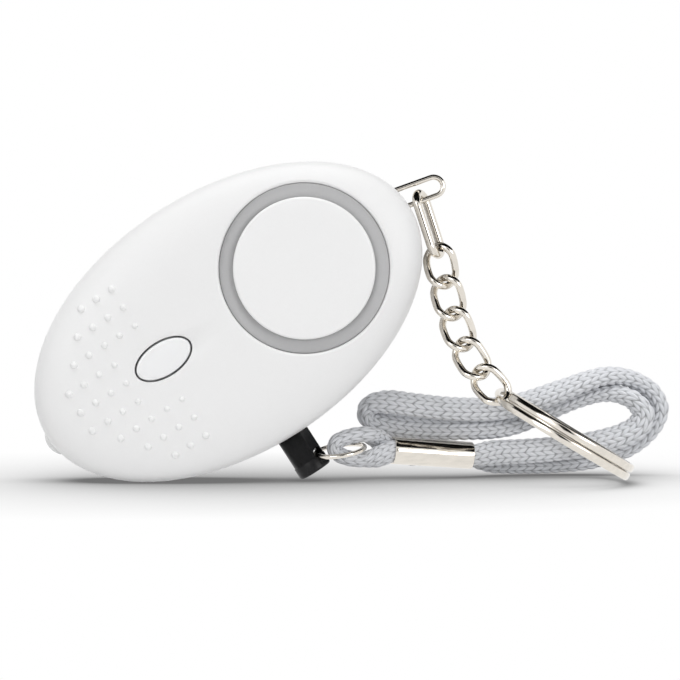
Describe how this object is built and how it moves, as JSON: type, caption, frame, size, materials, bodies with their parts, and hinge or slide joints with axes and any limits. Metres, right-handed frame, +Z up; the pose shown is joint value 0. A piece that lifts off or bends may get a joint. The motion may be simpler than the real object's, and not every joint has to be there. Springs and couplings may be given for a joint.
{
  "type": "personal safety alarm",
  "caption": "Oval white personal alarm with a round sounder, light button and pull pin on a braided wrist lanyard, and a short chain with a split key ring.",
  "frame": {"origin": "on the floor under the middle of the alarm and its chain, without the lanyard", "axes": "+X to the right along the case and chain, +Y to the rear of the case, +Z up"},
  "size_m": [0.1002, 0.032, 0.0498],
  "materials": {
    "case_white": "fine satin",
    "ring_grey": "smooth satin",
    "cover_white": "fine satin",
    "button_white": "translucent satin",
    "lens_clear": "clear polished",
    "led_clear": "clear",
    "pin_black": "semi-matte",
    "nickel": "polished nickel",
    "cord_grey": "braided",
    "brass": "bright",
    "contact_plate": "plated",
    "ceramic": "silvered ceramic",
    "foam": "foam",
    "lead_red": "wire cover",
    "switch_grey": "satin",
    "component_black": "moulded",
    "board_green": "solder mask",
    "steel": "bright",
    "cell_steel": "bright",
    "coil": "lacquered wire"
  },
  "bodies": {
    "lanyard": {"pull_pin": "pin_black", "pin_ring": "nickel", "crimp_sleeve": "nickel", "ring_loop": "cord_grey", "wrist_loop": "cord_grey"},
    "case": {"front_case": "case_white", "rear_case": "case_white", "speaker_ring": "ring_grey", "speaker_cover": "cover_white", "piezo_plate": "brass", "piezo_ceramic": "ceramic", "sounder_gasket": "foam", "piezo_leads": "lead_red", "button_switch": "switch_grey", "led_lens": "lens_clear", "led_bulb": "led_clear", "circuit_board": "board_green", "board_screws": "steel", "sound_chip": "component_black", "step_up_coil": "coil", "drive_transistor": "component_black", "battery_cells": "cell_steel", "battery_spring": "contact_plate", "battery_plate": "contact_plate", "leaf_pivot": "steel", "fixed_contact": "brass", "wire_loop": "nickel"},
    "button": {"led_button": "button_white", "switch_plunger": "component_black"},
    "leaf": {"contact_leaf": "brass"},
    "connector": {"connector_link": "nickel"},
    "link_1": {"chain_link_1": "nickel"},
    "link_2": {"chain_link_2": "nickel"},
    "link_3": {"chain_link_3": "nickel"},
    "link_4": {"chain_link_4": "nickel"},
    "link_5": {"chain_link_5": "nickel"},
    "ring": {"key_ring": "nickel"}
  },
  "joints": [
    {"name": "pin_pull", "type": "slide", "parent": "lanyard", "child": "case", "axis": [-0.5417, 0, 0.8406], "range_m": [0, 0.014]},
    {"name": "button_press", "type": "slide", "parent": "case", "child": "button", "axis": [0, 1, 0], "range_m": [0, 0.0005], "stiffness_N_per_m": 3000},
    {"name": "leaf_close", "type": "hinge", "parent": "case", "child": "leaf", "pos_m": [-0.00659, 0.00338, 0.01833], "axis": [0, -1, 0], "range_deg": [0, 8]},
    {"name": "connector_swing", "type": "hinge", "parent": "case", "child": "connector", "pos_m": [0.01372, 0.00458, 0.04368], "axis": [-0.9409, 0, -0.3387], "range_deg": [0, 25]},
    {"name": "link_1_swing", "type": "hinge", "parent": "connector", "child": "link_1", "pos_m": [0.01644, 0.00412, 0.03532], "axis": [-0.6237, -0.765, -0.1605], "range_deg": [0, 15]},
    {"name": "link_2_swing", "type": "hinge", "parent": "link_1", "child": "link_2", "pos_m": [0.01748, 0.0036, 0.03041], "axis": [-0.7633, -0.6393, -0.0935], "range_deg": [0, 15]},
    {"name": "link_3_swing", "type": "hinge", "parent": "link_2", "child": "link_3", "pos_m": [0.01871, 0.00279, 0.02547], "axis": [-0.7676, -0.6349, -0.0878], "range_deg": [0, 15]},
    {"name": "link_4_swing", "type": "hinge", "parent": "link_3", "child": "link_4", "pos_m": [0.02043, 0.00172, 0.02074], "axis": [-0.7656, -0.6287, -0.1364], "range_deg": [0, 15]},
    {"name": "link_5_swing", "type": "hinge", "parent": "link_4", "child": "link_5", "pos_m": [0.02308, 0.00047, 0.0165], "axis": [-0.732, -0.6237, -0.2741], "range_deg": [0, 15]},
    {"name": "ring_swing", "type": "hinge", "parent": "link_5", "child": "ring", "pos_m": [0.0264, -0.00095, 0.01282], "axis": [-0.6878, -0.6179, -0.3809], "range_deg": [0, 20]}
  ],
  "couplings": [
    {"joint": "leaf_close", "follows": "pin_pull", "rad_per_m": 9.97}
  ]
}
